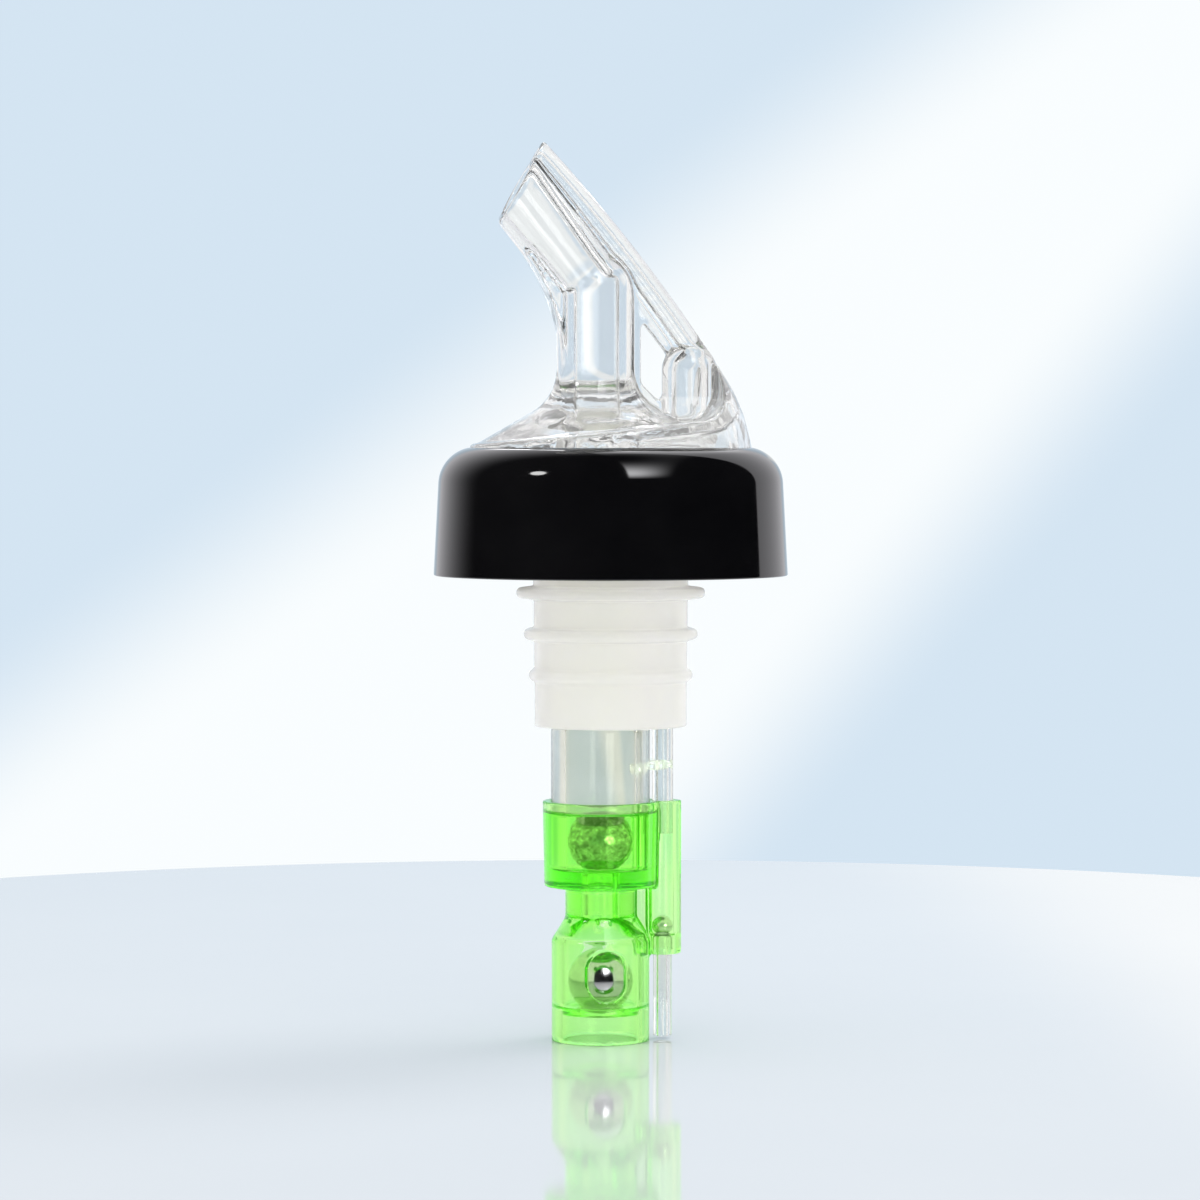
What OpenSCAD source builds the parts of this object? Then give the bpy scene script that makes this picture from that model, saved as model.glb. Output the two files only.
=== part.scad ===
// Measured bottle pourer with three captive steel balls.
// The Z axis is the axis of the collar and stopper, Z = 0 is the lower edge of the ball chamber,
// the spout pours towards -X and the air tube runs down the +X side. All sizes are in millimetres.

/* [Balls] */
// Diameter of the steel ball that ends the pour
metering_ball_d = 7.94; // [7.5:0.01:8.4]
// Diameter of the steel ball in the lower chamber
check_ball_d = 7.94; // [7.5:0.01:8.4]
// Diameter of the small steel ball in the air passage
breather_ball_d = 2.5; // [2.3:0.05:2.7]
// Radial room round the metering ball in its bore
metering_ball_room = 0.3; // [0.15:0.05:0.5]
// Radial room round the check ball in its chamber
check_ball_room = 0.5; // [0.3:0.05:0.8]
// Radial room round the breather ball in its bore
breather_ball_room = 0.12; // [0.1:0.01:0.25]

/* [Fits] */
// Radial gap between pieces pushed into each other
fit_gap = 0.03; // [0.02:0.01:0.06]
// Gap between a ball and the seat that it stops on
seat_gap = 0.05; // [0.03:0.01:0.1]

/* [Flow tube] */
// Wall of the clear tube that the metering ball runs in
tube_wall = 1.75; // [1.2:0.05:2.2]
// Length of the clear tube
tube_length = 41.4; // [38:0.1:46]
// How deep the tube stands in the metering cup
tube_insert = 1.4; // [1:0.1:2.5]
// How far the tube stands out above the stopper
tube_proud = 0.5; // [0.3:0.1:1]
// Height of the guide rib above the rim of the cup
guide_rib_rise = 3.8; // [2:0.1:6]
// Thickness of the guide rib that steadies the air tube
guide_rib_t = 1.2; // [0.8:0.1:1.6]
// Width of the guide rib round the air tube
guide_rib_wall = 1.5; // [1:0.1:2]

/* [Air passage] */
// Outer diameter of the upper air tube
air_tube_d = 2.6; // [2.4:0.05:2.8]
// Bore of the upper air tube
air_tube_bore = 1.2; // [0.8:0.05:1.5]
// Gap between the flow tube and the air tube
tube_spacing = 0.3; // [0.2:0.05:0.6]
// Distance of the pair of tubes behind the stopper's axis
tube_pair_x = 0.2; // [0:0.05:0.6]
// How deep the air tube stands in the sleeve of the cup
air_tube_insert = 4.0; // [2:0.1:6]
// How far the air tube reaches into its boss in the spout
air_tube_reach = 1.6; // [1:0.1:2]
// Room above the air tube's end in that boss
air_tube_end_room = 0.3; // [0.2:0.1:0.6]
// Wall of that boss round the air tube
air_boss_wall = 1.3; // [1:0.1:1.6]
// Outer diameter of the lower air inlet tube
inlet_tube_d = 2.25; // [2:0.05:2.5]
// Bore of the lower air inlet tube
inlet_tube_bore = 1.1; // [0.8:0.05:1.4]
// Height of the inlet tube's open end above the base
inlet_tube_rise = 0.4; // [0.2:0.1:1]

/* [Metering cup] */
// Wall of the cup round the flow tube
cup_wall = 1.0; // [0.8:0.05:1.4]
// Thickness of the floor under the metering ball
cup_floor = 2.0; // [1.5:0.1:2.6]
// Depth of the cup from rim to floor
cup_depth = 8.4; // [7.8:0.1:9.5]
// Amount by which the cup's radius shrinks from rim to foot
cup_draft = 0.2; // [0.05:0.05:0.35]
// Diameter of the neck between the cup and the ball chamber
neck_d = 8.6; // [7.6:0.1:9.4]
// Length of the neck
neck_h = 3.8; // [2.5:0.1:5]
// Diameter of the bore down the neck
neck_bore = 3.2; // [2.4:0.1:4]
// Wall of the sleeve round the breather ball
sleeve_wall = 0.93; // [0.7:0.01:1.1]
// Thickness of the sleeve's floor round the inlet tube
sleeve_floor = 2.25; // [1.5:0.05:3]
// Height of the sleeve's lower end above the base
sleeve_rise = 10.45; // [9:0.05:11.5]

/* [Ball chamber] */
// Wall of the ball chamber
chamber_wall = 1.5; // [1.2:0.05:1.9]
// Height of the straight bore above the retainer ring
chamber_bore_h = 8.0; // [7.4:0.1:9]
// Height of the sloping shoulder between chamber and neck
shoulder_h = 2.7; // [2.2:0.1:3.4]
// Height of the open skirt under the retainer ring
skirt_h = 3.3; // [2.5:0.1:4.5]
// Width of the liquid windows
window_w = 4.4; // [3.4:0.1:5]
// Height of the liquid windows
window_h = 6.1; // [5.2:0.1:6.6]
// Height of the windows' lower ends above the retainer ring
window_rise = 0.95; // [0.7:0.05:1.2]
// Width of the bypass grooves in the check ball's upper seat
bypass_w = 1.2; // [0.8:0.1:1.6]
// Thickness of the retainer ring
retainer_t = 1.0; // [0.8:0.1:1.4]
// Step in the bore that the retainer ring is pushed up against
retainer_step = 0.2; // [0.15:0.05:0.35]
// Hole through the retainer ring
retainer_hole_d = 5.2; // [4:0.1:6]

/* [Stopper] */
// Diameter of the stopper's body at its nose
stopper_d = 18.5; // [17:0.1:19.2]
// Amount by which the body's radius grows at each fin on the way up
stopper_step = 0.06; // [0.02:0.01:0.15]
// Length of the stopper from nose to flange top
stopper_length = 30.4; // [28:0.1:34]
// How far the lowest fin stands out from the nose
low_fin_w = 0.7; // [0.5:0.05:1.2]
// How far the middle fin stands out from the nose
middle_fin_w = 1.25; // [0.8:0.05:1.8]
// How far the highest fin stands out from the nose
top_fin_w = 2.1; // [1.2:0.05:2.8]
// Thickness of the fins
fin_t = 1.3; // [1.1:0.1:1.6]
// Rounding of the fins' edges
fin_round = 0.4; // [0.2:0.05:0.5]
// Distance from one fin to the next
fin_pitch = 5.0; // [4.2:0.1:5.6]
// Height of the lowest fin above the nose
fin_rise = 6.2; // [5:0.1:7]
// Distance of the stopper's flange in from the edge of the spout's flange
stopper_flange_inset = 0.55; // [0.3:0.05:3]
// Thickness of the flange under the collar
stopper_flange_t = 1.5; // [1.2:0.1:2]
// Rounding of the nose
nose_round = 0.5; // [0.3:0.1:0.8]

/* [Collar] */
// Diameter of the collar at its lower edge
collar_d = 43.0; // [42:0.1:46]
// Height of the collar
collar_h = 15.6; // [13:0.1:17]
// Slope of the collar's side, in degrees
collar_draft = 3; // [1:0.5:4]
// Rounding of the collar's shoulder
collar_round = 4.6; // [3.5:0.1:5]
// Wall of the collar's skirt at the lower edge
collar_wall = 1.6; // [1.2:0.1:2]
// Thickness of the collar's top round the spout
collar_top_t = 2.0; // [1.6:0.1:2.6]
// Width of the collar's shoulder, from its lower edge in to the hole that the spout comes up through
collar_shoulder_w = 4.35; // [4:0.05:5]

/* [Spout] */
// Thickness of the flange that holds the spout under the collar
spout_flange_t = 1.5; // [1.2:0.1:2]
// Width of the ledge that the spout's flange catches the collar with
spout_ledge = 1.4; // [1:0.1:1.6]
// How far the edge of the seat reaches in over the metering ball
seat_lap = 0.47; // [0.35:0.01:0.8]
// Length of the seat's spigot in the top of the flow tube
seat_spigot_h = 1.5; // [1:0.1:2.5]
// Chamfer at the seat's lower edge
seat_chamfer = 0.24; // [0.1:0.02:0.3]
// Radius of the domed back of the spout's base, seen from the side
dome_r = 22; // [20:0.5:25]
// Lean of the dome's side at the rim, in degrees from upright
dome_lean = 9; // [6:1:12]
// Wall of the hollow dome
dome_wall = 1.9; // [1.4:0.1:2.2]
// Height of the scooped top's front edge above the collar
scoop_lip = 0.3; // [0.2:0.1:0.6]
// Slope of the scooped top of the base, in degrees
scoop_slope = 6; // [4:0.5:8]
// Radius of the scoop where it turns up into the hood
scoop_round = 3.6; // [3:0.1:4]
// Thickness of the scooped top
scoop_wall = 1.5; // [1.2:0.1:1.8]
// Distance of the pouring neck in front of the axis
pour_x = 2.0; // [1.8:0.05:2.2]
// Diameter of the pouring neck
pour_neck_d = 9.2; // [8.8:0.1:9.6]
// Width of the square pouring bore up the neck
pour_bore = 4.5; // [4.2:0.1:4.8]
// Radius of the fillet at the foot of the pouring neck
flare_round = 6.0; // [4:0.1:7]
// Slope of the flare below that fillet, in degrees
flare_slope = 30; // [25:1:34]
// Distance of the flare's edge from the front edge of the base
flare_inset = 0.2; // [0.1:0.1:1]
// Height of the bend above the rim of the base
bend_rise = 18.85; // [17:0.05:21]
// Lean of the pouring tube from upright, in degrees
pour_lean = 38; // [33:1:43]
// Length of the leaning tube from the bend to the mouth
pour_reach = 15.5; // [13:0.1:18]
// Outer diameter of the leaning tube
pour_tube_d = 8.4; // [8:0.1:8.6]
// Bore of the leaning tube at its mouth
mouth_bore = 5.9; // [5.2:0.1:6.2]
// Bore of the leaning tube at the bend
bend_bore = 4.8; // [4.6:0.1:5.2]
// Height of the slanting plane in which the two bores meet above the bend
bore_meet_rise = 0.95; // [0.8:0.05:1.2]
// Radius of the gusset that rounds the corner under the leaning tube
gusset_round = 22; // [16:1:28]
// Thickness of that gusset
gusset_t = 5.6; // [4:0.1:6.4]
// Depth by which the gusset's ends run into the tube
gusset_sink = 0.15; // [0.1:0.05:0.4]
// Angle between the mouth's face and a square cut, in degrees
mouth_rake = 23; // [15:1:28]
// Outer diameter of the air channel along the spout's back
back_channel_d = 3.8; // [3.4:0.1:4.2]
// Depth by which the air channel is sunk into the leaning tube
back_channel_sink = 0.9; // [0.6:0.1:1.3]
// Bore of the air channel along the spout's back
back_channel_bore = 1.5; // [1.2:0.1:1.8]
// Radius of the back's gentle bow, seen from the side
back_bow_r = 200; // [160:5:300]
// Distance of the air bulb behind the axis
bulb_x = 9.6; // [9.2:0.1:9.9]
// Diameter of the air bulb at the foot of the back channel
bulb_d = 6.6; // [6:0.1:6.8]
// Distance of the bulb's round top below the line of the back channel
bulb_drop = 2.4; // [2:0.1:3]
// Depth by which the bulb is sunk into the hood
bulb_sink = 0.4; // [0.3:0.1:0.8]
// Bore of the air bulb
bulb_bore = 3.4; // [2.8:0.1:3.8]
// Diameter of the port between the back channel and the air bulb
air_port_d = 1.0; // [0.8:0.1:1.2]
// Thickness of the web between neck and back channel
web_t = 2.4; // [1.8:0.1:3]
// Width of the web's rim round its window
web_rim = 1.0; // [0.8:0.1:1.6]
// Height of the window's lower edge above the rim of the base
web_window_rise = 5.8; // [5:0.1:7]
// Cut across the window's lower corner
web_window_corner = 1.9; // [1:0.1:2.5]

/* [Hidden] */
$fn = 96;
slack = 1; // extra length by which a cut runs past the face that it opens
edge_step = 0.02; // small step that keeps two faces from meeting exactly edge to edge

clear_plastic = [0.93, 0.96, 0.98, 0.45];
green_plastic = [0.36, 0.93, 0.22, 0.6];
milky_plastic = [0.92, 0.92, 0.89, 0.9];
black_plastic = [0.02, 0.02, 0.025];
steel = [0.75, 0.75, 0.76];

// Radii, and the two tubes side by side in the stopper
metering_r = metering_ball_d / 2;
check_r = check_ball_d / 2;
breather_r = breather_ball_d / 2;
tube_bore_r = metering_r + metering_ball_room;
tube_r = tube_bore_r + tube_wall;
air_tube_r = air_tube_d / 2;
pair_width = 2 * tube_r + tube_spacing + 2 * air_tube_r;
flow_x = tube_pair_x - pair_width / 2 + tube_r;
air_x = tube_pair_x + pair_width / 2 - air_tube_r;
breather_bore_r = max(breather_r + breather_ball_room, air_tube_r + fit_gap);
sleeve_r = breather_bore_r + sleeve_wall;
chamber_bore_r = check_r + check_ball_room;
chamber_r = chamber_bore_r + chamber_wall;
neck_r = neck_d / 2;
neck_bore_r = neck_bore / 2;
cup_seat_r = tube_r + fit_gap;
cup_r = cup_seat_r + cup_wall;
guide_rib_r = air_tube_r + guide_rib_wall;

// Heights, from the base upwards
check_seat_z = skirt_h + retainer_t;
shoulder_z = check_seat_z + chamber_bore_h;
neck_z = shoulder_z + shoulder_h;
cup_z = neck_z + neck_h;
cup_floor_z = cup_z + cup_floor;
cup_rim_z = cup_floor_z + cup_depth;
tube_z = cup_rim_z - tube_insert;
tube_top_z = tube_z + tube_length;
flange_z = tube_top_z - tube_proud;
nose_z = flange_z - stopper_length;
ledge_z = flange_z + spout_flange_t;
rim_z = ledge_z + collar_top_t;
sleeve_floor_z = sleeve_rise + sleeve_floor;
air_tube_z = cup_rim_z - air_tube_insert;

// Height of a ball's centre above the round edge that it rests on, and the balls' places at rest
function centre_over(ball_r, edge_r) = sqrt(pow(ball_r, 2) - pow(edge_r, 2));
metering_rest_z = cup_floor_z + centre_over(metering_r, neck_bore_r) + seat_gap;
check_rest_z = check_seat_z + centre_over(check_r, retainer_hole_d / 2) + seat_gap;
breather_rest_z = sleeve_floor_z + centre_over(breather_r, inlet_tube_bore / 2) + seat_gap;

// The metering ball rises to the seat's edge in the spout, where the chamfer ends
seat_r = metering_r - seat_lap;
seat_spigot_r = tube_bore_r - fit_gap;
seat_z = tube_top_z - seat_spigot_h;
metering_stop_z = seat_z + seat_chamfer - centre_over(metering_r, seat_r) - seat_gap;
metering_travel = metering_stop_z - metering_rest_z;
// The check ball rises to the sloping ceiling of its chamber
ceiling_slope = atan2(chamber_bore_r - neck_bore_r, shoulder_h);
check_stop_z = neck_z + neck_bore_r / tan(ceiling_slope) - (check_r + seat_gap) / sin(ceiling_slope);
check_travel = check_stop_z - check_rest_z;
// The breather ball rises to the lower end of the air tube
breather_stop_z = air_tube_z - centre_over(breather_r, air_tube_bore / 2) - seat_gap;
breather_travel = breather_stop_z - breather_rest_z;

echo(metering_rest_z = metering_rest_z, metering_travel = metering_travel);
echo(check_rest_z = check_rest_z, check_travel = check_travel);
echo(breather_rest_z = breather_rest_z, breather_travel = breather_travel);

// Shared shapes

module upright(x, z, r, h) {
    translate([x, 0, z]) cylinder(r = r, h = h);
}

module upright_tube(x, z, r, bore_r, h) {
    difference() {
        upright(x, z, r, h);
        upright(x, z - slack, bore_r, h + 2 * slack);
    }
}

// An upright bar whose top is half a ball that starts at the given height
module round_topped(x, z, r, h) {
    translate([x, 0, z]) rotate_extrude() {
        square([r, h]);
        translate([0, h]) intersection() {
            circle(r = r);
            square(r);
        }
    }
}

// A plate that stands in the XZ plane, from a drawing whose Y is the part's Z
module side_plate(thickness) {
    translate([0, thickness / 2, 0]) rotate([90, 0, 0]) linear_extrude(thickness) children();
}

// Steel balls

module ball(x, z, r) {
    color(steel) translate([x, 0, z]) sphere(r = r);
}

module metering_ball() {
    ball(flow_x, metering_rest_z, metering_r);
}

module check_ball() {
    ball(flow_x, check_rest_z, check_r);
}

module breather_ball() {
    ball(air_x, breather_rest_z, breather_r);
}

// Green moulding: ball chamber, neck, cup and breather sleeve

retainer_r = chamber_bore_r + retainer_step;

module chamber_outside() {
    upright(flow_x, 0, chamber_r, shoulder_z);
    translate([flow_x, 0, shoulder_z]) cylinder(r1 = chamber_r, r2 = neck_r, h = shoulder_h);
    upright(flow_x, shoulder_z, neck_r, cup_z - shoulder_z + cup_floor / 2);
}

module chamber_inside() {
    upright(flow_x, -slack, retainer_r, check_seat_z + slack);
    upright(flow_x, 0, chamber_bore_r, shoulder_z);
    translate([flow_x, 0, shoulder_z])
        cylinder(r1 = chamber_bore_r, r2 = neck_bore_r, h = shoulder_h);
    upright(flow_x, shoulder_z, neck_bore_r, cup_floor_z - shoulder_z + slack);
}

// Liquid windows through the front and back wall of the chamber, with round ends
module liquid_windows() {
    half_straight = (window_h - window_w) / 2;
    window_z = check_seat_z + window_rise + window_h / 2;
    side_plate(2 * (chamber_r + slack)) translate([flow_x, window_z]) {
        square([window_w, 2 * half_straight], center = true);
        for (side = [-1, 1]) translate([0, side * half_straight]) circle(d = window_w);
    }
}

// Grooves past the check ball's upper seat, so that it slows the liquid and doesn't stop it
module bypass_grooves() {
    groove_r = (chamber_bore_r + neck_bore_r) / 2;
    for (turn = [0, 90]) translate([flow_x, 0, shoulder_z]) rotate(turn)
        translate([-groove_r, -bypass_w / 2, 0]) cube([2 * groove_r, bypass_w, shoulder_h]);
}

module metering_cup() {
    color(green_plastic) difference() {
        union() {
            chamber_outside();
            translate([flow_x, 0, cup_z])
                cylinder(r1 = cup_r - cup_draft, r2 = cup_r, h = cup_rim_z - cup_z);
            upright(air_x, sleeve_rise, sleeve_r, cup_rim_z - sleeve_rise);
            translate([flow_x, -sleeve_r / 2, sleeve_rise])
                cube([air_x - flow_x, sleeve_r, cup_z + cup_floor / 2 - sleeve_rise]);
        }
        chamber_inside();
        liquid_windows();
        bypass_grooves();
        upright(flow_x, cup_floor_z, tube_bore_r, cup_depth + slack);
        upright(flow_x, tube_z, cup_seat_r, tube_insert + slack);
        upright(air_x, sleeve_floor_z, breather_bore_r, cup_rim_z - sleeve_floor_z + slack);
        upright(air_x, sleeve_rise - slack, inlet_tube_d / 2 + fit_gap, sleeve_floor + 2 * slack);
    }
}

module ball_retainer() {
    color(green_plastic)
        upright_tube(flow_x, skirt_h, retainer_r - fit_gap, retainer_hole_d / 2, retainer_t);
}

// Clear tubes

module flow_tube() {
    rib_z = cup_rim_z + guide_rib_rise;
    color(clear_plastic) difference() {
        union() {
            upright(flow_x, tube_z, tube_r, tube_length);
            upright(air_x - air_tube_r - tube_spacing, rib_z, guide_rib_r, guide_rib_t);
        }
        upright(flow_x, tube_z - slack, tube_bore_r, tube_length + 2 * slack);
        upright(air_x, rib_z - slack, air_tube_r + fit_gap, guide_rib_t + 2 * slack);
    }
}

module air_tube() {
    color(clear_plastic)
        upright_tube(air_x, air_tube_z, air_tube_r, air_tube_bore / 2,
            flange_z + air_tube_reach - air_tube_z);
}

module air_inlet_tube() {
    color(clear_plastic)
        upright_tube(air_x, inlet_tube_rise, inlet_tube_d / 2, inlet_tube_bore / 2,
            sleeve_floor_z - inlet_tube_rise);
}

// Ribbed stopper

stopper_r = stopper_d / 2;
fin_widths = [low_fin_w, middle_fin_w, top_fin_w];

// A rectangle that stands on the axis, with round outer corners
module round_edged(r, h, corner) {
    square([r - corner, h]);
    translate([0, corner]) square([r, h - 2 * corner]);
    for (z = [corner, h - corner]) translate([r - corner, z]) circle(r = corner);
}

module stopper_outline() {
    body_h = stopper_length - stopper_flange_t / 2;
    round_edged(stopper_r, fin_rise, nose_round);
    for (i = [0 : len(fin_widths) - 1]) translate([0, fin_rise + i * fin_pitch]) {
        square([stopper_r + (i + 1) * stopper_step, body_h - fin_rise - i * fin_pitch]);
        translate([0, -fin_t / 2]) round_edged(stopper_r + fin_widths[i], fin_t, fin_round);
    }
    translate([0, stopper_length - stopper_flange_t])
        square([spout_flange_r - stopper_flange_inset, stopper_flange_t]);
}

module stopper() {
    bore_z = nose_z - slack;
    bore_h = stopper_length + 2 * slack;
    color(milky_plastic) difference() {
        translate([0, 0, nose_z]) rotate_extrude() stopper_outline();
        upright(flow_x, bore_z, tube_r + fit_gap, bore_h);
        upright(air_x, bore_z, air_tube_r + fit_gap, bore_h);
        translate([flow_x, -air_tube_r / 2, bore_z]) cube([air_x - flow_x, air_tube_r, bore_h]);
    }
}

// Collar

collar_edge_z = rim_z - collar_h;
collar_hole_r = collar_d / 2 - collar_shoulder_w;
collar_inner_r = collar_d / 2 - collar_wall;
spout_flange_r = collar_hole_r + spout_ledge;

module collar_outline() {
    collar_r = collar_d / 2;
    round_z = collar_h - collar_round;
    tangent_rise = round_z + collar_round * sin(collar_draft);
    tangent_r = collar_r - tangent_rise * tan(collar_draft);
    round_r = tangent_r - collar_round * cos(collar_draft) + edge_step;
    difference() {
        union() {
            polygon([[0, 0], [collar_r, 0], [tangent_r, tangent_rise], [round_r, round_z], [0, round_z]]);
            translate([round_r, round_z]) circle(r = collar_round);
            square([round_r, collar_h]);
        }
        translate([-collar_r, 0]) square([collar_r, collar_h + slack]);
        translate([0, -slack]) square([collar_hole_r, collar_h + 2 * slack]);
        polygon([[0, -slack], [collar_inner_r, -slack], [collar_inner_r, 0],
            [spout_flange_r + fit_gap, collar_h - collar_top_t], [0, collar_h - collar_top_t]]);
    }
}

module collar() {
    color(black_plastic) translate([0, 0, collar_edge_z]) rotate_extrude() collar_outline();
}

// Spout: hollow scooped base, pouring neck, leaning tube, back air channel and bulb

plug_r = collar_hole_r - fit_gap;
pour_neck_r = pour_neck_d / 2;
bend = [-pour_x, rim_z + bend_rise];
lean = [-sin(pour_lean), cos(pour_lean)];
across = [cos(pour_lean), sin(pour_lean)];
mouth = bend + pour_reach * lean;
back_channel_r = back_channel_d / 2;
// The back channel is sunk into the leaning tube, and its bowed line runs down to the air bulb
channel_middle = bend + (pour_tube_d / 2 + back_channel_r - back_channel_sink) * across;
bow_centre = channel_middle - back_bow_r * across;
bulb_r = bulb_d / 2;
hood_x = bulb_x + bulb_r - bulb_sink;
bulb_z = flange_z + air_tube_reach - scoop_wall;
function bow_angle(x) = acos((x - bow_centre[0]) / back_bow_r);
channel_foot = [bulb_x, bow_centre[1] + back_bow_r * sin(bow_angle(bulb_x))];
bulb_h = channel_foot[1] - bulb_drop - bulb_z;

// The lower edge of the dome's arc stands just inside the plug's rim
dome_centre = [plug_r - edge_step - dome_r * cos(dome_lean), rim_z - dome_r * sin(dome_lean)];
// Height at which the dome has come in to the hood's inner face, with room to spare
dome_h = dome_centre[1] + sqrt(pow(dome_r, 2) - pow(hood_x - dome_centre[0], 2)) + slack - rim_z;
// Height of the scooped top at a distance behind the axis
function scoop_z(x) = rim_z + scoop_lip + (plug_r + x) * tan(scoop_slope);

// Half of the dome's section with its foot in the plug, from the axis outwards, drawn in by the given amount
module dome_outline(inset) {
    intersection() {
        translate(dome_centre) circle(r = dome_r - inset);
        translate([0, ledge_z]) square([plug_r - edge_step - inset, collar_top_t + dome_h]);
    }
}

// Everything above the scooped top and in front of the hood, grown by the given amount
module scoop_area(grow) {
    reach = 2 * plug_r;
    turn_x = hood_x - scoop_round;
    turn = [turn_x, scoop_z(turn_x) + scoop_round / cos(scoop_slope)];
    corner_r = scoop_round + grow;
    foot = turn + corner_r * [sin(scoop_slope), -cos(scoop_slope)];
    polygon([foot, turn, [turn[0], rim_z + reach], [-reach, rim_z + reach],
        foot - reach * [cos(scoop_slope), sin(scoop_slope)]]);
    translate(turn) circle(r = corner_r);
    translate(turn) square([corner_r, reach]);
}

module scooped_dome() {
    difference() {
        union() {
            rotate_extrude() dome_outline(0);
            upright(0, ledge_z, plug_r, collar_top_t);
            upright(0, flange_z, spout_flange_r, spout_flange_t);
        }
        side_plate(4 * plug_r) scoop_area(0);
        difference() {
            union() {
                rotate_extrude() dome_outline(dome_wall);
                upright(0, flange_z - slack, plug_r - dome_wall, rim_z - flange_z + slack);
            }
            side_plate(4 * plug_r) scoop_area(scoop_wall);
        }
    }
}

// Pouring neck, with a fillet at its foot that runs out into a sloping skirt on the scooped top
module pouring_neck_outline() {
    rim_r = plug_r - pour_x - flare_inset;
    run = rim_r - pour_neck_r - flare_round * (1 - sin(flare_slope));
    centre = [pour_neck_r + flare_round, flare_round * cos(flare_slope) + run * tan(flare_slope)];
    foot = centre - flare_round * [sin(flare_slope), cos(flare_slope)];
    difference() {
        polygon([[0, tube_top_z - rim_z], [pour_neck_r, tube_top_z - rim_z], [pour_neck_r, -scoop_wall / 2],
            [rim_r, -scoop_wall / 2], [rim_r, 0], foot, [pour_neck_r, centre[1]],
            [pour_neck_r, bend_rise], [0, bend_rise]]);
        translate(centre) circle(r = flare_round);
    }
    translate([0, bend_rise]) intersection() {
        circle(r = pour_neck_r);
        square(pour_neck_r);
    }
}

module pouring_neck() {
    translate([-pour_x, 0, rim_z]) rotate_extrude() pouring_neck_outline();
}

// A round bar from the bend along the leaning tube, straight or tapered
module leaning(start, r1, r2, h) {
    translate([bend[0] + start * lean[0], 0, bend[1] + start * lean[1]])
        rotate([0, -pour_lean, 0]) cylinder(r1 = r1, r2 = r2, h = h);
}

// Everything above the slanting plane in which the upright and the leaning bore meet
module above_bend(rise) {
    translate([bend[0], 0, bend[1] + rise]) rotate([0, -pour_lean / 2, 0])
        translate([-plug_r, -plug_r, 0]) cube(2 * plug_r);
}

// A plate in the corner between the neck and the leaning tube, with a hollow front edge
module bend_gusset() {
    foot_r = pour_tube_d / 2 - gusset_sink;
    half_turn = pour_lean / 2;
    centre = bend - (gusset_round + foot_r) / cos(half_turn) * [cos(half_turn), sin(half_turn)];
    side_plate(gusset_t) difference() {
        polygon([bend, centre + gusset_round * [1, 0], centre, centre + gusset_round * across]);
        translate(centre) circle(r = gusset_round);
    }
}

// A bar bent along the bow of the spout's back, between two angles about the bow's centre
module bowed_bar(r, from, to) {
    translate([bow_centre[0], 0, bow_centre[1]]) rotate([90, 0, 0]) rotate([0, 0, from])
        rotate_extrude(angle = to - from) translate([back_bow_r, 0]) circle(r = r);
}

bow_high = pour_lean + (pour_reach + pour_tube_d) / back_bow_r * 180 / PI;

// Web between the neck and the back channel, with a window whose upper edge follows the channel
module web_plate() {
    foot_z = scoop_z(0);
    edge = channel_middle - (back_channel_r + web_rim) * across;
    function edge_z(x) = edge[1] - (x - edge[0]) / tan(pour_lean);
    left = -pour_x + pour_neck_r + web_rim;
    low = rim_z + web_window_rise;
    side_plate(web_t) difference() {
        polygon([[-pour_x, foot_z], [-pour_x, bend[1]], channel_middle, channel_foot, [bulb_x, foot_z]]);
        polygon([[left, edge_z(left)], [left, low + web_window_corner], [left + web_window_corner, low],
            [bulb_x, low], [bulb_x, edge_z(bulb_x)]]);
    }
}

module spout_outside() {
    scooped_dome();
    pouring_neck();
    upright(flow_x, tube_top_z, tube_r, rim_z - tube_top_z);
    upright(flow_x, seat_z, seat_spigot_r, rim_z - seat_z);
    leaning(0, pour_tube_d / 2, pour_tube_d / 2, pour_reach + pour_tube_d);
    bend_gusset();
    bowed_bar(back_channel_r, bow_angle(hood_x), bow_high);
    round_topped(bulb_x, bulb_z, bulb_r, bulb_h);
    upright(air_x, flange_z, air_tube_r + air_boss_wall, rim_z - flange_z);
    web_plate();
}

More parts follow.
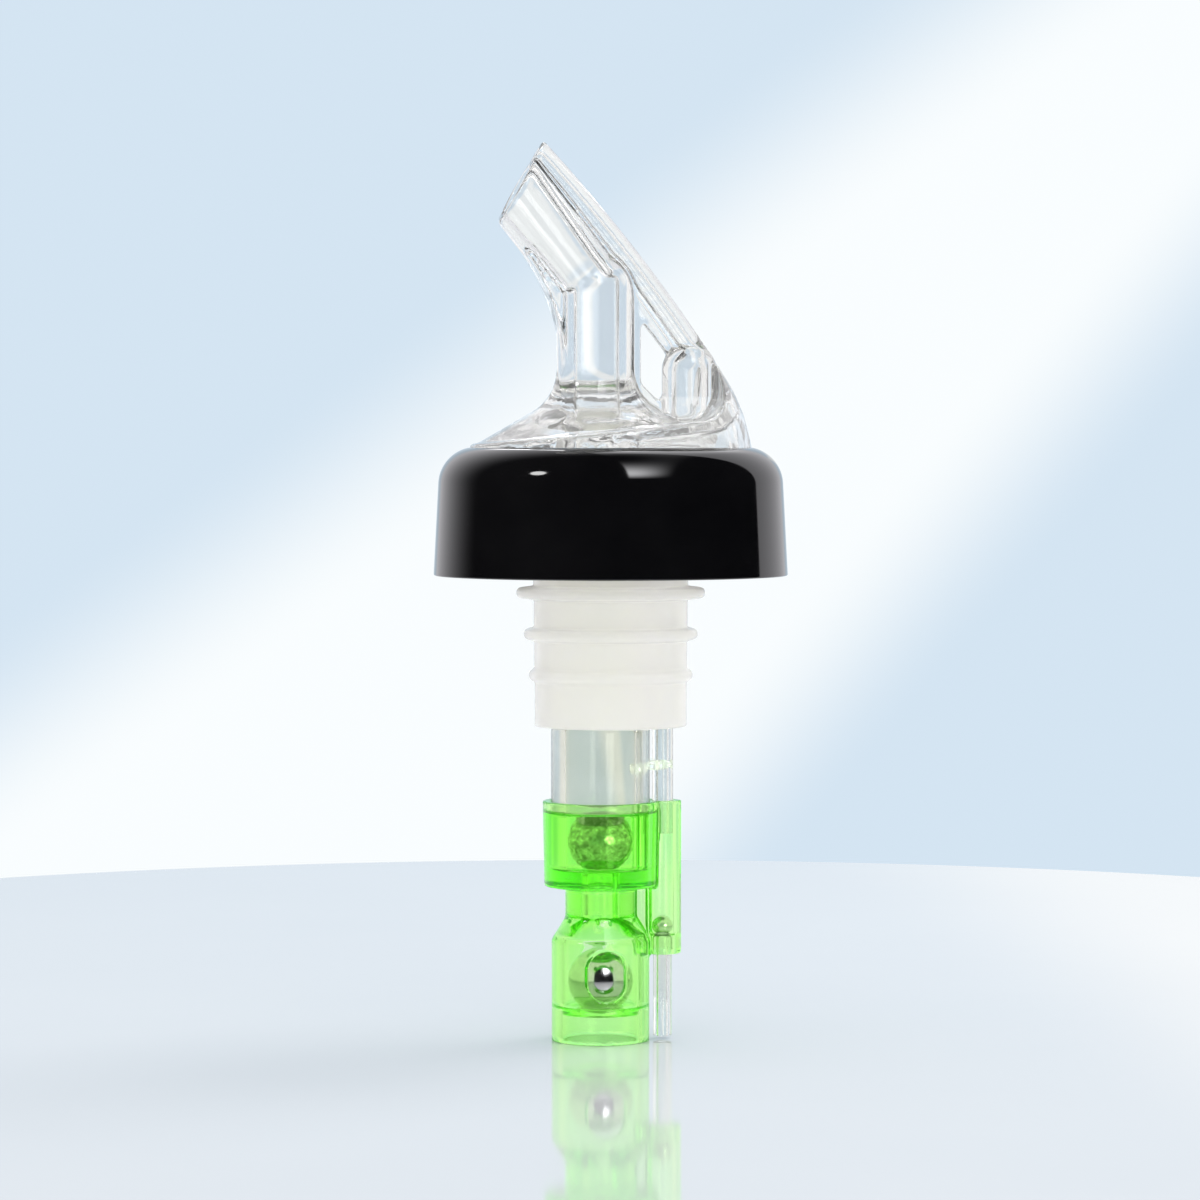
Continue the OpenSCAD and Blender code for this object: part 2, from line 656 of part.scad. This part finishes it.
module spout_inside() {
    // Pouring way: ball seat, upright bore, bend and leaning bore
    upright(flow_x, seat_z - slack, seat_r, rim_z - seat_z + slack);
    translate([flow_x, 0, seat_z - seat_chamfer])
        cylinder(r1 = seat_r + 2 * seat_chamfer, r2 = seat_r, h = 2 * seat_chamfer);
    difference() {
        translate([-pour_x - pour_bore / 2, -pour_bore / 2, tube_top_z])
            cube([pour_bore, pour_bore, bend_rise + pour_bore + rim_z - tube_top_z]);
        above_bend(bore_meet_rise);
    }
    intersection() {
        leaning(-bend_bore, bend_bore / 2, bend_bore / 2, 2 * bend_bore);
        above_bend(bore_meet_rise - edge_step);
    }
    leaning(bend_bore - slack, bend_bore / 2, mouth_bore / 2, pour_reach + slack - bend_bore);
    leaning(pour_reach - slack, mouth_bore / 2, mouth_bore / 2, 2 * pour_tube_d);
    // Air way: back channel, port down into the bulb, bulb and the socket of the air tube
    bowed_bar(back_channel_bore / 2, bow_angle(bulb_x + air_port_d), bow_high + slack);
    upright(bulb_x, bulb_z + bulb_h, air_port_d / 2, channel_foot[1] - bulb_z - bulb_h);
    round_topped(bulb_x, bulb_z + scoop_wall, bulb_bore / 2, bulb_h - scoop_wall);
    translate([air_x, -air_tube_bore / 2, bulb_z + scoop_wall])
        cube([bulb_x - air_x, air_tube_bore, rim_z - bulb_z]);
    upright(air_x, flange_z - slack, air_tube_r + fit_gap, air_tube_reach + air_tube_end_room + slack);
    // Sloping face of the mouth
    translate([mouth[0], 0, mouth[1]]) rotate([0, -pour_lean - mouth_rake, 0])
        translate([-plug_r, -plug_r, 0]) cube([2 * plug_r, 2 * plug_r, plug_r]);
}

module spout() {
    color(clear_plastic) difference() {
        spout_outside();
        spout_inside();
    }
}

spout();
collar();
stopper();
flow_tube();
air_tube();
metering_cup();
ball_retainer();
air_inlet_tube();
metering_ball();
check_ball();
breather_ball();
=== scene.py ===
import math

import bmesh
import bpy
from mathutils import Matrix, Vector


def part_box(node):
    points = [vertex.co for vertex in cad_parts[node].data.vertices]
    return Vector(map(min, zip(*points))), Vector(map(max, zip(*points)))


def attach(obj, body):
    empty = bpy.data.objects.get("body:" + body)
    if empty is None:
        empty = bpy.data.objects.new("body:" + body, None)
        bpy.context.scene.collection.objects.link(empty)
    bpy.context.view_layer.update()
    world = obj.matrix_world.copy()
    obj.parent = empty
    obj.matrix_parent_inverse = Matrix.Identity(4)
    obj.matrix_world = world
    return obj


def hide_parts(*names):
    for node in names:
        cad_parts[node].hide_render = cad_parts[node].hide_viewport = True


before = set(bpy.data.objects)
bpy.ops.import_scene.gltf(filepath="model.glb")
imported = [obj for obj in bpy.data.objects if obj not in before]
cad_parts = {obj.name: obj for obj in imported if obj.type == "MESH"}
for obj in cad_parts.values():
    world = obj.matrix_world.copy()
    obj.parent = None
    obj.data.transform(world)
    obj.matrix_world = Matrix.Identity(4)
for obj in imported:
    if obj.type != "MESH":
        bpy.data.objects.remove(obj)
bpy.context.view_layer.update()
scene = bpy.context.scene
scene.view_settings.view_transform = "Standard"

# Camera: a long lens a little above the collar, turned so that the spout leans slightly towards it.
# It looks down by a small angle, from where the photograph was taken.
mm = 0.001
view_turn = math.radians(-8)
eye_back, eye_aside, eye_height = 510 * mm, -1.3 * mm, 72.3 * mm
aim_height = 53.6 * mm
to_eye = Vector((math.sin(view_turn), -math.cos(view_turn), 0))
to_right = Vector((math.cos(view_turn), math.sin(view_turn), 0))
camera = bpy.data.objects.new("camera", bpy.data.cameras.new("camera"))
camera.data.lens = 126
camera.data.sensor_width = 36
camera.location = to_eye * eye_back + to_right * eye_aside + Vector((0, 0, eye_height))
camera.rotation_euler = (math.pi / 2 - math.atan2(eye_height - aim_height, eye_back), 0, view_turn)
scene.collection.objects.link(camera)
scene.camera = camera


# Table top: a round, pale, glossy board whose far edge shows behind the pourer.
# It is only the stage, lit softly, and keeps the pourer's shadow and reflection.
def linked(name, bm):
    """A new object at the origin from a finished bmesh, with smooth shading."""
    mesh = bpy.data.meshes.new(name)
    bm.to_mesh(mesh)
    bm.free()
    mesh.shade_smooth()
    piece = bpy.data.objects.new(name, mesh)
    scene.collection.objects.link(piece)
    return piece


def finish_of(name, sockets):
    """A Principled material with the given constant values on its sockets."""
    material = bpy.data.materials.new(name)
    material.use_nodes = True
    shader = material.node_tree.nodes["Principled BSDF"]
    for socket, value in sockets.items():
        shader.inputs[socket].default_value = value
    return material


def cloud_in(material, scale, detail=4.0):
    """The output of a soft noise on the piece's own coordinates."""
    tree = material.node_tree
    place = tree.nodes.new("ShaderNodeTexCoord")
    cloud = tree.nodes.new("ShaderNodeTexNoise")
    cloud.inputs["Scale"].default_value = scale
    cloud.inputs["Detail"].default_value = detail
    tree.links.new(place.outputs["Object"], cloud.inputs["Vector"])
    return cloud.outputs["Fac"]


def shade_by(material, cloud, socket, low, high):
    """Lets a noise move one socket of the shader between two values or two colours."""
    tree = material.node_tree
    ramp = tree.nodes.new("ShaderNodeValToRGB")
    ramp_places = (0.3, 0.7)
    for stop, place, value in zip(ramp.color_ramp.elements, ramp_places, (low, high)):
        stop.position = place
        stop.color = value if hasattr(value, "__len__") else (value, value, value, 1)
    tree.links.new(cloud, ramp.inputs["Fac"])
    tree.links.new(ramp.outputs["Color"], tree.nodes["Principled BSDF"].inputs[socket])


table_r, table_t, table_round = 185 * mm, 12 * mm, 2 * mm
table_far_edge = 224 * mm
level_share = 0.99
board_low, board_high = (0.71, 0.725, 0.75, 1), (0.745, 0.755, 0.775, 1)
bm = bmesh.new()
bmesh.ops.create_cone(bm, cap_ends=True, segments=256, radius1=table_r, radius2=table_r, depth=table_t)
rims = [edge for edge in bm.edges if abs(edge.verts[0].co.z - edge.verts[1].co.z) < mm]
bmesh.ops.bevel(bm, geom=rims, offset=table_round, affect="EDGES", segments=4, profile=0.5, material=-1)
table_centre = (table_r - table_far_edge) * to_eye - Vector((0, 0, table_t / 2))
bmesh.ops.translate(bm, verts=bm.verts, vec=table_centre)
table_top = linked("table_top", bm)
for face in table_top.data.polygons:
    face.use_smooth = abs(face.normal.z) < level_share  # the level top is shaded flat and mirrors truly
lacquer = finish_of("pale_lacquer", {"Roughness": 0.06, "IOR": 1.45})
shade_by(lacquer, cloud_in(lacquer, scale=9), "Base Color", board_low, board_high)
table_top.data.materials.append(lacquer)

# Backdrop and light: a pale wall with a broad beam across it, and soft light from all round.
# Polished surfaces see a dark room with two lamps, clear ones a bright room, and matt ones an even light.
# Each direction is given by its shares to the right, towards the camera and up.
world = bpy.data.worlds.new("studio")
scene.world = world
world.use_nodes = True
sky = world.node_tree
sky.nodes.clear()
up = Vector((0, 0, 1))


def sky_share(direction, low, high):
    """How far a line of sight has turned towards a direction, from 0 at low to 1 at high."""
    place = sky.nodes.new("ShaderNodeTexCoord")
    along = sky.nodes.new("ShaderNodeVectorMath")
    along.operation = "DOT_PRODUCT"
    along.inputs[1].default_value = direction.normalized()
    sky.links.new(place.outputs["Generated"], along.inputs[0])
    share = sky.nodes.new("ShaderNodeMapRange")
    share.interpolation_type = "SMOOTHSTEP"
    share.inputs["From Min"].default_value = low
    share.inputs["From Max"].default_value = high
    sky.links.new(along.outputs["Value"], share.inputs["Value"])
    return share.outputs["Result"]


def sky_mix(share, low, high):
    """A colour between two others, each a constant or the output of another node."""
    mix = sky.nodes.new("ShaderNodeMix")
    mix.data_type = "RGBA"
    sockets = {socket.identifier: socket for socket in mix.inputs}
    sky.links.new(share, sockets["Factor_Float"])
    for name, colour in (("A_Color", low), ("B_Color", high)):
        if hasattr(colour, "__len__"):
            sockets[name].default_value = (*colour, 1)
        else:
            sky.links.new(colour, sockets[name])
    return next(socket for socket in mix.outputs if socket.identifier == "Result_Color")


def sky_glow(colour, direction, low, high, bright):
    """A colour with a soft bright patch laid over it."""
    return sky_mix(sky_share(direction, low, high), colour, (bright, bright, bright))


wall_blue, wall_white = (0.66, 0.78, 0.89), (0.95, 0.985, 1.0)
beam_start, beam_end = 0.595 * to_right - 0.804 * up, 0.757 * to_right - 0.653 * up
beam = sky_mix(sky_share(beam_start, -0.052, -0.006), wall_blue, wall_white)
wall = sky_mix(sky_share(beam_end, 0.058, 0.098), beam, wall_blue)

dark_left, dark_right, side_white = (0.022, 0.021, 0.023), (0.004, 0.004, 0.006), (0.97, 0.96, 1.0)
dark_room = sky_mix(sky_share(to_right, -0.5, 0.3), dark_left, dark_right)
left_wall = sky_mix(sky_share(-to_eye, 0.15, 0.85), dark_room, side_white)
right_wall = sky_mix(sky_share(-to_eye, 0.38, 0.395), dark_room, side_white)
mirrored = sky_mix(sky_share(to_right, -0.05, 0.05), left_wall, right_wall)
mirrored = sky_mix(sky_share(-to_eye, 0.90, 0.96), mirrored, wall)
panel_edge, panel_white = 0.98 * to_right - 0.2 * to_eye, (8.0, 8.0, 8.2)
panel = sky_mix(sky_share(panel_edge, 0.0, 0.03), mirrored, panel_white)
panel = sky_mix(sky_share(panel_edge, 0.03, 0.5), panel, mirrored)
panel = sky_mix(sky_share(up, 0.60, 1.0), panel, mirrored)
mirrored = sky_mix(sky_share(up, 0.34, 0.60), mirrored, panel)
round_lamp = -0.685 * to_right + 0.474 * to_eye + 0.56 * up
mirrored = sky_glow(mirrored, round_lamp, 0.995, 0.997, bright=12.0)

room_white, room_grey = (0.98, 0.97, 0.96), (0.40, 0.43, 0.50)
window = 0.46 * to_right + 0.86 * to_eye + 0.08 * up
bright_room = sky_mix(sky_share(to_eye, 0.76, 0.90), room_white, room_grey)
bright_room = sky_glow(bright_room, window, 0.960, 0.985, bright=5.0)
refracted = sky_mix(sky_share(-to_eye, 0.70, 0.93), bright_room, wall)

# Seen, mirrored and refracted rays end in these rooms, and all other rays bring the even light.
even_light = (0.97, 0.97, 0.97)
path = sky.nodes.new("ShaderNodeLightPath")
seen = sky_mix(path.outputs["Is Glossy Ray"], wall, mirrored)
seen = sky_mix(path.outputs["Is Transmission Ray"], seen, refracted)
sharp = path.outputs["Is Camera Ray"]
for kind in ("Is Glossy Ray", "Is Transmission Ray"):
    either = sky.nodes.new("ShaderNodeMath")
    either.operation = "MAXIMUM"
    sky.links.new(sharp, either.inputs[0])
    sky.links.new(path.outputs[kind], either.inputs[1])
    sharp = either.outputs["Value"]
light = sky.nodes.new("ShaderNodeBackground")
sky.links.new(sky_mix(sharp, even_light, seen), light.inputs["Color"])
output = sky.nodes.new("ShaderNodeOutputWorld")
sky.links.new(light.outputs["Background"], output.inputs["Surface"])

for name, width, height, watts, place in (
        ("softbox", 0.22, 0.30, 0.9, 0.26 * to_right - 0.20 * to_eye + 0.48 * up),
        ("front_fill", 0.40, 0.40, 2.0, 0.24 * to_right + 1.18 * to_eye + 0.21 * up)):
    lamp = bpy.data.lights.new(name, "AREA")
    lamp.shape = "RECTANGLE"
    lamp.size, lamp.size_y = width, height
    lamp.energy = watts
    panel_light = bpy.data.objects.new(name, lamp)
    panel_light.location = place
    panel_light.rotation_euler = (aim_height * up - place).to_track_quat("-Z", "Y").to_euler()
    panel_light.visible_camera = panel_light.visible_glossy = panel_light.visible_transmission = False
    scene.collection.objects.link(panel_light)


# Green moulding: ball chamber, neck, cup and breather sleeve in one piece of clear green plastic.
# It is injection moulded, with small rounds at its edges, and is pushed up on the two upper tubes.
weld = 0.0005 * mm


def worked_mesh(piece):
    """The piece's mesh with its modifiers worked in."""
    graph = bpy.context.evaluated_depsgraph_get()
    return bpy.data.meshes.new_from_object(piece.evaluated_get(graph))


def moulded(piece, skin, rounds):
    """Gives a piece an even skin, and rounds its edges as a moulding's are."""
    remesh = piece.modifiers.new("skin", "REMESH")
    remesh.mode = "VOXEL"
    remesh.voxel_size = skin
    remesh.use_smooth_shade = True
    soften = piece.modifiers.new("soften", "SMOOTH")
    soften.factor = 0.5
    soften.iterations = rounds
    mesh = worked_mesh(piece)
    piece.modifiers.clear()
    piece.data = mesh


def copy_of(node, name):
    """A closed copy of one of the solids."""
    bm = bmesh.new()
    bm.from_mesh(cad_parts[node].data)
    bmesh.ops.remove_doubles(bm, verts=bm.verts, dist=weld)
    bmesh.ops.recalc_face_normals(bm, faces=bm.faces)
    return linked(name, bm)


def settle(piece, material, body, node):
    """Gives a piece its finish and its place among the bodies."""
    piece.data.materials.clear()
    piece.data.materials.append(material)
    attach(piece, body)
    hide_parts(node)


green_low, green_high = (0.94, 1.0, 0.89, 1), (0.97, 1.0, 0.93, 1)
painted_green_glow, dye_colour = (0.25, 1.0, 0.05, 1), (0.45, 0.985, 0.0, 1)
# The green plastic also gives off a faint painted glow, which lightens its dark edges.
green = finish_of("green_plastic", {"Transmission Weight": 1, "IOR": 1.5, "Emission Strength": 0.05,
                                    "Emission Color": painted_green_glow})
shade_by(green, cloud_in(green, scale=300), "Base Color", green_low, green_high)
shade_by(green, cloud_in(green, scale=900), "Roughness", 0.05, 0.11)
dye = green.node_tree.nodes.new("ShaderNodeVolumeAbsorption")
dye.inputs["Color"].default_value = dye_colour
dye.inputs["Density"].default_value = 300
green.node_tree.links.new(dye.outputs["Volume"], green.node_tree.nodes["Material Output"].inputs["Volume"])
cup_skin, cup_rounds = 0.18 * mm, 6
metering_cup = copy_of("metering_cup", "green_cup")
moulded(metering_cup, cup_skin, cup_rounds)
settle(metering_cup, green, "pourer", "metering_cup")


# Retainer ring: a flat green ring that is pushed into the chamber's mouth from below.
# It is of the same plastic as the chamber and keeps the ball in.
corner_turn, sliver, small_round = 0.35, 0.002 * mm, 0.15 * mm


def lathe(name, outline, centre_x, edge_round, turns=160):
    """A closed outline of radii and heights, spun about an upright axis, with its corners rounded."""
    bm = bmesh.new()
    ring = [bm.verts.new((r, 0, z)) for r, z in outline]
    sides = [bm.edges.new(pair) for pair in zip(ring, ring[1:] + ring[:1])]
    bmesh.ops.spin(bm, geom=ring + sides, cent=(0, 0, 0), axis=(0, 0, 1), angle=2 * math.pi,
                   steps=turns, use_merge=True)
    bmesh.ops.remove_doubles(bm, verts=bm.verts, dist=weld)
    bmesh.ops.recalc_face_normals(bm, faces=bm.faces)
    corners = [edge for edge in bm.edges if edge.calc_face_angle(0) > corner_turn]
    bmesh.ops.bevel(bm, geom=corners, offset=edge_round, affect="EDGES", segments=4, profile=0.5,
                    material=-1, clamp_overlap=True)
    bmesh.ops.remove_doubles(bm, verts=bm.verts, dist=sliver)
    if bm.calc_volume(signed=True) < 0:
        bmesh.ops.reverse_faces(bm, faces=bm.faces)
    bmesh.ops.translate(bm, verts=bm.verts, vec=(centre_x, 0, 0))
    return linked(name, bm)


def tube_outline(outer, bore, low, high):
    """The four corners of a tube's wall."""
    return [(outer, low), (outer, high), (bore, high), (bore, low)]


ring_low, ring_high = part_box("ball_retainer")
ring_hole_r = 2.6 * mm
flow_x = (ring_low.x + ring_high.x) / 2
ring_wall = tube_outline(ring_high.y, ring_hole_r, ring_low.z, ring_high.z)
retainer = lathe("retainer_ring", ring_wall, flow_x, small_round)
settle(retainer, green, "pourer", "ball_retainer")

# Steel balls: two large ones that meter and check the flow, and a small one in the air sleeve.
# They are polished bearing balls, loose in their bores, and the metering ball is mottled by wear.
worn_low, worn_high = (0.12, 0.12, 0.12, 1), (0.82, 0.82, 0.81, 1)
worn_steel = finish_of("worn_steel", {"Metallic": 1})
shade_by(worn_steel, cloud_in(worn_steel, scale=2000, detail=8), "Base Color", worn_low, worn_high)
shade_by(worn_steel, cloud_in(worn_steel, scale=2600, detail=8), "Roughness", 0.10, 0.24)
bright_low, bright_high = (0.60, 0.60, 0.60, 1), (0.70, 0.70, 0.70, 1)
bright_steel = finish_of("bright_steel", {"Metallic": 1})
shade_by(bright_steel, cloud_in(bright_steel, scale=900), "Base Color", bright_low, bright_high)
shade_by(bright_steel, cloud_in(bright_steel, scale=2600, detail=8), "Roughness", 0.10, 0.20)
for node, steel in (("metering_ball", worn_steel), ("check_ball", bright_steel),
                    ("breather_ball", bright_steel)):
    low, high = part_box(node)
    bm = bmesh.new()
    bmesh.ops.create_icosphere(bm, subdivisions=5, radius=(high.z - low.z) / 2)
    bmesh.ops.translate(bm, verts=bm.verts, vec=(low + high) / 2)
    settle(linked(node + "_steel", bm), steel, node, node)


# Air tubes: the thin upper tube beside the flow tube and the short inlet tube under the sleeve.
# They are extruded in clear plastic and pushed into their sockets.
def wave_by(material, cloud, height):
    """Lets a noise raise and lower the surface by a small height."""
    tree = material.node_tree
    bump = tree.nodes.new("ShaderNodeBump")
    bump.inputs["Strength"].default_value = 1
    bump.inputs["Distance"].default_value = height
    tree.links.new(cloud, bump.inputs["Height"])
    tree.links.new(bump.outputs["Normal"], tree.nodes["Principled BSDF"].inputs["Normal"])


def clear_plastic(name, low, high, clear, rough, flow, flow_scale=180, glow=0):
    """Glossy plastic between two tints: a share is clear, flow marks wave it, and it may give off a painted
    glow in its lighter tint.
    """
    material = finish_of(name, {"Transmission Weight": clear, "IOR": 1.5, "Roughness": rough,
                                "Emission Strength": glow, "Emission Color": high})
    shade_by(material, cloud_in(material, scale=250), "Base Color", low, high)
    wave_by(material, cloud_in(material, flow_scale, detail=2), flow)
    return material


tube_low_tint, tube_high_tint, tube_flow = (0.92, 0.94, 0.92, 1), (0.96, 0.97, 0.955, 1), 0.004 * mm
clear_tube = clear_plastic("clear_tube", tube_low_tint, tube_high_tint, clear=0.96, rough=0.02,
                           flow=tube_flow)
thin_turns = 96
for node, bore_r in (("air_inlet_tube", 0.55 * mm), ("air_tube", 0.6 * mm)):
    low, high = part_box(node)
    air_x, air_r = (low.x + high.x) / 2, high.y
    air_wall = tube_outline(air_r, bore_r, low.z, high.z)
    tube = lathe(node + "_clear", air_wall, air_x, small_round, thin_turns)
    settle(tube, clear_tube, "pourer", node)


# Flow tube: the wide tube that the metering ball runs in, with a small guide rib for the air tube.
# It is moulded in clear, slightly hazy plastic.
# It stands in the cup below and round the spout's spigot above.
sharp_turn, past_end = math.radians(40), 1.0 * mm


def pin(centre_x, radius, low, high):
    """An upright pin, for cutting bores."""
    bm = bmesh.new()
    bmesh.ops.create_cone(bm, cap_ends=True, segments=128, radius1=radius, radius2=radius, depth=high - low)
    bmesh.ops.translate(bm, verts=bm.verts, vec=(centre_x, 0, (low + high) / 2))
    return linked("pin", bm)


def carved(piece, *cutters):
    """Cuts the given shapes out of a piece, clears the slivers and leaves its hard edges sharp."""
    for cutter in cutters:
        cut = piece.modifiers.new("cut", "BOOLEAN")
        cut.operation = "DIFFERENCE"
        cut.solver = "EXACT"
        cut.object = cutter
    mesh = worked_mesh(piece)
    piece.modifiers.clear()
    piece.data = mesh
    bm = bmesh.new()
    bm.from_mesh(mesh)
    bmesh.ops.remove_doubles(bm, verts=bm.verts, dist=sliver)
    bmesh.ops.dissolve_degenerate(bm, edges=bm.edges, dist=sliver)
    bm.to_mesh(mesh)
    bm.free()
    mesh.set_sharp_from_angle(angle=sharp_turn)
    for cutter in cutters:
        bpy.data.objects.remove(cutter)


tube_low, tube_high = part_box("flow_tube")
ball_play = 0.3 * mm
tube_r, tube_bore_r = tube_high.y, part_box("metering_ball")[1].y + ball_play
tube_wall = tube_outline(tube_r, tube_bore_r, tube_low.z, tube_high.z)
flow_tube = lathe("flow_tube_clear", tube_wall, flow_x, small_round)
hazy_low, hazy_high = (0.88, 0.895, 0.81, 1), (0.93, 0.94, 0.87, 1)
hazy_tube = clear_plastic("hazy_tube", hazy_low, hazy_high, clear=0.94, rough=0.08, flow=tube_flow)
settle(flow_tube, hazy_tube, "pourer", "flow_tube")

rib_r, rib_low, rib_high, rib_round = 2.8 * mm, 33.0 * mm, 34.2 * mm, 0.55 * mm
rib_core_r, rib_sink, rib_play = 0.05 * mm, 0.02 * mm, 0.05 * mm
rib_skin, rib_rounds = 0.09 * mm, 6
rib_x = tube_high.x - rib_r
rib_wall = tube_outline(rib_r, rib_core_r, rib_low, rib_high)
rib = lathe("guide_rib_clear", rib_wall, rib_x, rib_round, thin_turns)
carved(rib, pin(flow_x, tube_r - rib_sink, rib_low - past_end, rib_high + past_end),
       pin(air_x, air_r + rib_play, rib_low - past_end, rib_high + past_end))
moulded(rib, rib_skin, rib_rounds)
# The rib gives off a painted glow, which makes it read pale and bright.
rib_low_tint, rib_high_tint = (0.90, 0.98, 0.88, 1), (0.94, 1.0, 0.92, 1)
rib_plastic_painted_glow = clear_plastic("rib_plastic_painted_glow", rib_low_tint, rib_high_tint, clear=0.97, rough=0.1,
                           flow=tube_flow, glow=0.14)
rib.data.materials.clear()
rib.data.materials.append(rib_plastic_painted_glow)
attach(rib, "pourer")

# Stopper: a soft, milky sleeve with three fins that grips the bottle's neck.
# It is moulded in translucent plastic, and the two tubes pass through it.
# The milky plastic gives off a painted glow, which lightens the shade under the collar and between the fins.
milky = finish_of("milky_plastic", {"Roughness": 0.25, "IOR": 1.48, "Transmission Weight": 0.6,
                                    "Subsurface Weight": 1, "Subsurface Scale": 0.002,
                                    "Subsurface Radius": (1.0, 1.0, 0.92),
                                    "Emission Strength": 0.13, "Emission Color": (1.0, 0.99, 0.97, 1)})
milky_low, milky_high = (0.92, 0.91, 0.87, 1), (0.95, 0.94, 0.90, 1)
shade_by(milky, cloud_in(milky, scale=160), "Base Color", milky_low, milky_high)
nose, flange_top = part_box("stopper")
core_r, body_r, body_step, flange_t = 1.0 * mm, 9.25 * mm, 0.06 * mm, 1.5 * mm
fin_root, fin_tip, fin_round = 0.85 * mm, 0.62 * mm, 0.3 * mm
fins = ((6.2 * mm, 0.7 * mm), (11.2 * mm, 1.25 * mm), (16.2 * mm, 2.1 * mm))
stopper_round, stopper_turns, bore_play = 0.22 * mm, 192, 0.03 * mm
flange_low = flange_top.z - flange_t
outline = [(core_r, nose.z), (body_r, nose.z)]
for rise, reach in fins:
    z, tip_r = nose.z + rise, body_r + reach
    outline += [(body_r, z - fin_root), (tip_r - fin_round, z - fin_tip), (tip_r, z - fin_tip + fin_round),
                (tip_r, z + fin_tip - fin_round), (tip_r - fin_round, z + fin_tip)]
    body_r += body_step
    outline.append((body_r, z + fin_root))
outline += [(body_r, flange_low), (flange_top.y, flange_low), (flange_top.y, flange_top.z)]
outline.append((core_r, flange_top.z))
stopper = lathe("milky_stopper", outline, 0, stopper_round, stopper_turns)
carved(stopper, pin(flow_x, tube_r + bore_play, nose.z - past_end, flange_top.z + past_end),
       pin(air_x, air_r + bore_play, nose.z - past_end, flange_top.z + past_end))
settle(stopper, milky, "pourer", "stopper")

# Spout: scooped base, pouring neck, bent tube, air channel along the back and air bulb in one moulding.
# It is clear, glossy plastic, with wavy flow marks and a faint painted glow in its thick base.
# Its flange is held between the collar and the stopper.
spout_low, spout_high = (0.955, 0.96, 0.955, 1), (0.985, 0.985, 0.98, 1)
clear_spout = clear_plastic("clear_spout", spout_low, spout_high, clear=0.965, rough=0.015, flow=0.006 * mm)
# The thick base is a little less clear and gives off a faint painted glow, which lightens it.
wavy_base_painted_glow = clear_plastic("wavy_base_painted_glow", spout_low, spout_high, clear=0.93, rough=0.015, flow=0.24 * mm,
                          flow_scale=290, glow=0.04)
spout_skin, spout_rounds, base_rise = 0.28 * mm, 8, 6 * mm
spout = copy_of("spout", "clear_spout")
moulded(spout, spout_skin, spout_rounds)
settle(spout, clear_spout, "pourer", "spout")
spout.data.materials.append(wavy_base_painted_glow)
base_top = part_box("collar")[1].z + base_rise
for face in spout.data.polygons:
    face.material_index = int(face.center.z < base_top)

# Collar: a domed cap with a wide hole, in polished black plastic.
# It is moulded, rests on the spout's flange and hides the bottle's lip.
black = finish_of("black_plastic", {"Coat Weight": 0.3, "Coat Roughness": 0.03, "IOR": 1.5})
black_low, black_high = (0.002, 0.002, 0.0025, 1), (0.004, 0.004, 0.0045, 1)
shade_by(black, cloud_in(black, scale=120), "Base Color", black_low, black_high)
shade_by(black, cloud_in(black, scale=500), "Roughness", 0.05, 0.09)
edge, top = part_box("collar")
draft, shoulder_r, shoulder_steps = math.radians(3), 4.6 * mm, 24
wall_t, hole_r, ledge_r, ledge_drop, collar_tall = 1.6 * mm, 17.15 * mm, 18.58 * mm, 2.0 * mm, 15.6 * mm
collar_round, collar_turns = 0.2 * mm, 256
inner_r, rim_z = top.x - wall_t, edge.z + collar_tall
ledge_z = rim_z - ledge_drop
centre_z = rim_z - shoulder_r
centre_r = (top.x - (centre_z + shoulder_r * math.sin(draft) - edge.z) * math.tan(draft)
            - shoulder_r * math.cos(draft))
hole_edge = math.acos((hole_r - centre_r) / shoulder_r)
turn = [draft + step / shoulder_steps * (hole_edge - draft) for step in range(shoulder_steps + 1)]
outline = [(top.x, edge.z)]
outline += [(centre_r + shoulder_r * math.cos(angle), centre_z + shoulder_r * math.sin(angle))
            for angle in turn]
outline += [(hole_r, ledge_z), (ledge_r, ledge_z), (inner_r, edge.z)]
collar = lathe("black_collar", outline, 0, collar_round, collar_turns)
settle(collar, black, "pourer", "collar")
